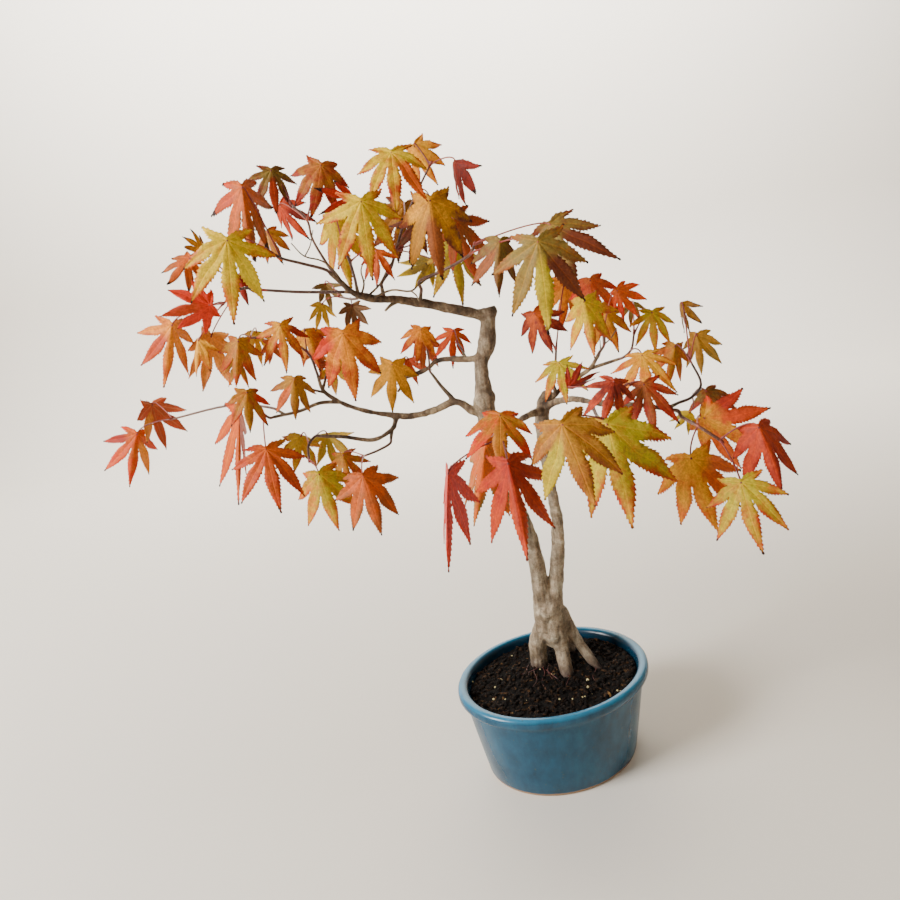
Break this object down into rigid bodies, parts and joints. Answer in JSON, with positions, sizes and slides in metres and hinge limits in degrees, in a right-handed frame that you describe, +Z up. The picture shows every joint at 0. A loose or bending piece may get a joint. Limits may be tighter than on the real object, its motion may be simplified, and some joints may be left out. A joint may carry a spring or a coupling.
{
  "type": "japanese maple bonsai",
  "caption": "Small tree with two trunks joined above spreading roots and deeply cut autumn leaves on drooping sprays, grown in an oval glazed pot with soil.",
  "frame": {"origin": "centre of the pot's flat underside", "axes": "+Z up, -Y towards the tree's front, +X to the right as seen from the front"},
  "size_m": [0.4151, 0.2285, 0.4316],
  "materials": {
    "pot_glaze": "gloss",
    "net_plastic": "matte",
    "potting_soil": "matte",
    "bark": "matte",
    "leaf_yellow": "satin",
    "leaf_orange": "satin",
    "leaf_red": "satin",
    "leaf_brown": "satin"
  },
  "bodies": {
    "root": {"pot": "pot_glaze", "drain_net_left": "net_plastic", "drain_net_right": "net_plastic", "soil": "potting_soil", "wood": "bark", "spray_crown_left": "leaf_orange", "spray_crown_upper": "leaf_red", "spray_crown_centre": "leaf_yellow", "spray_crown_top": "leaf_orange", "spray_bare_twig": "leaf_orange", "spray_left": "leaf_red", "spray_left_inner": "leaf_orange", "spray_left_middle": "leaf_orange", "spray_middle": "leaf_orange", "spray_back_low": "leaf_yellow", "spray_back_middle": "leaf_orange", "spray_back_right": "leaf_red", "spray_low_left": "leaf_orange", "spray_far_left": "leaf_red", "spray_low_middle": "leaf_yellow", "spray_low_right": "leaf_red", "spray_right_end": "leaf_orange", "spray_right_outer": "leaf_yellow", "spray_front_right": "leaf_yellow", "spray_front_upper": "leaf_red", "spray_front_left": "leaf_red", "spray_right_upper": "leaf_orange", "spray_right_side": "leaf_yellow", "spray_right_inner": "leaf_yellow", "spray_back_top": "leaf_brown"}
  },
  "joints": []
}
